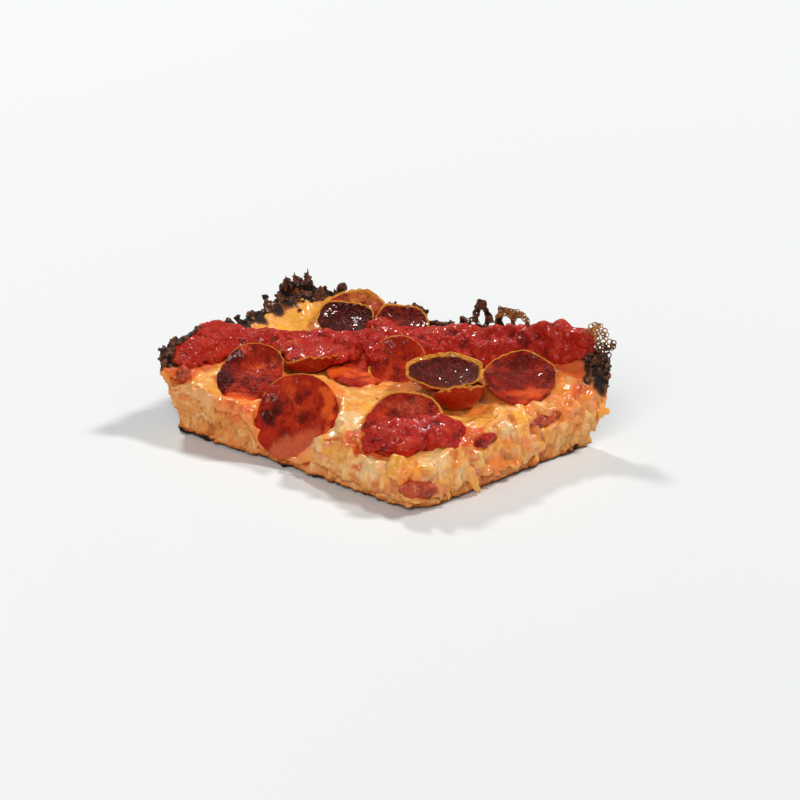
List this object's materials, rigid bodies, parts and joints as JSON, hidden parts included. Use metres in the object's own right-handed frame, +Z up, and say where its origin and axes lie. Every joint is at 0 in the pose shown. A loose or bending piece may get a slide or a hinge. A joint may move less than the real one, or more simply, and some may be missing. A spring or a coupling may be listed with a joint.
{
  "type": "pizza slice",
  "caption": "Rectangular corner slice of thick pan pizza: airy bread, cheese baked up two pan sides, cupped pepperoni and a ridge of chunky tomato sauce.",
  "frame": {"origin": "on the flat underside, near its middle", "axes": "+X along the long back pan side, away from the pan's corner; +Y from the long cut side to that pan side; +Z up"},
  "size_m": [0.1316, 0.0926, 0.0396],
  "materials": {
    "bread": "open crumb on the cut sides, dark brown oiled base",
    "cheese": "greasy golden cheese, burnt dark brown along the pan sides",
    "pepperoni": "oily, dark red to brown, thin golden rims",
    "pepperoni_cut": "greasy, brownish pink",
    "sauce": "wet, pulpy, bright tomato red"
  },
  "bodies": {
    "root": {"bread": "bread", "cheese": "cheese", "pepperoni_left": "pepperoni", "pepperoni_front_left": "pepperoni", "pepperoni_front": "pepperoni", "pepperoni_cup_under": "pepperoni", "pepperoni_cup": "pepperoni", "pepperoni_right": "pepperoni", "pepperoni_centre": "pepperoni", "pepperoni_flat": "pepperoni", "pepperoni_middle": "pepperoni", "pepperoni_back": "pepperoni", "pepperoni_rim": "pepperoni", "pepperoni_back_right": "pepperoni", "pepperoni_scrap_left": "pepperoni_cut", "pepperoni_scrap_corner": "pepperoni_cut", "pepperoni_scrap_right": "pepperoni_cut", "sauce_scrap": "sauce", "sauce_stripe": "sauce", "sauce_dollop": "sauce"}
  },
  "joints": []
}
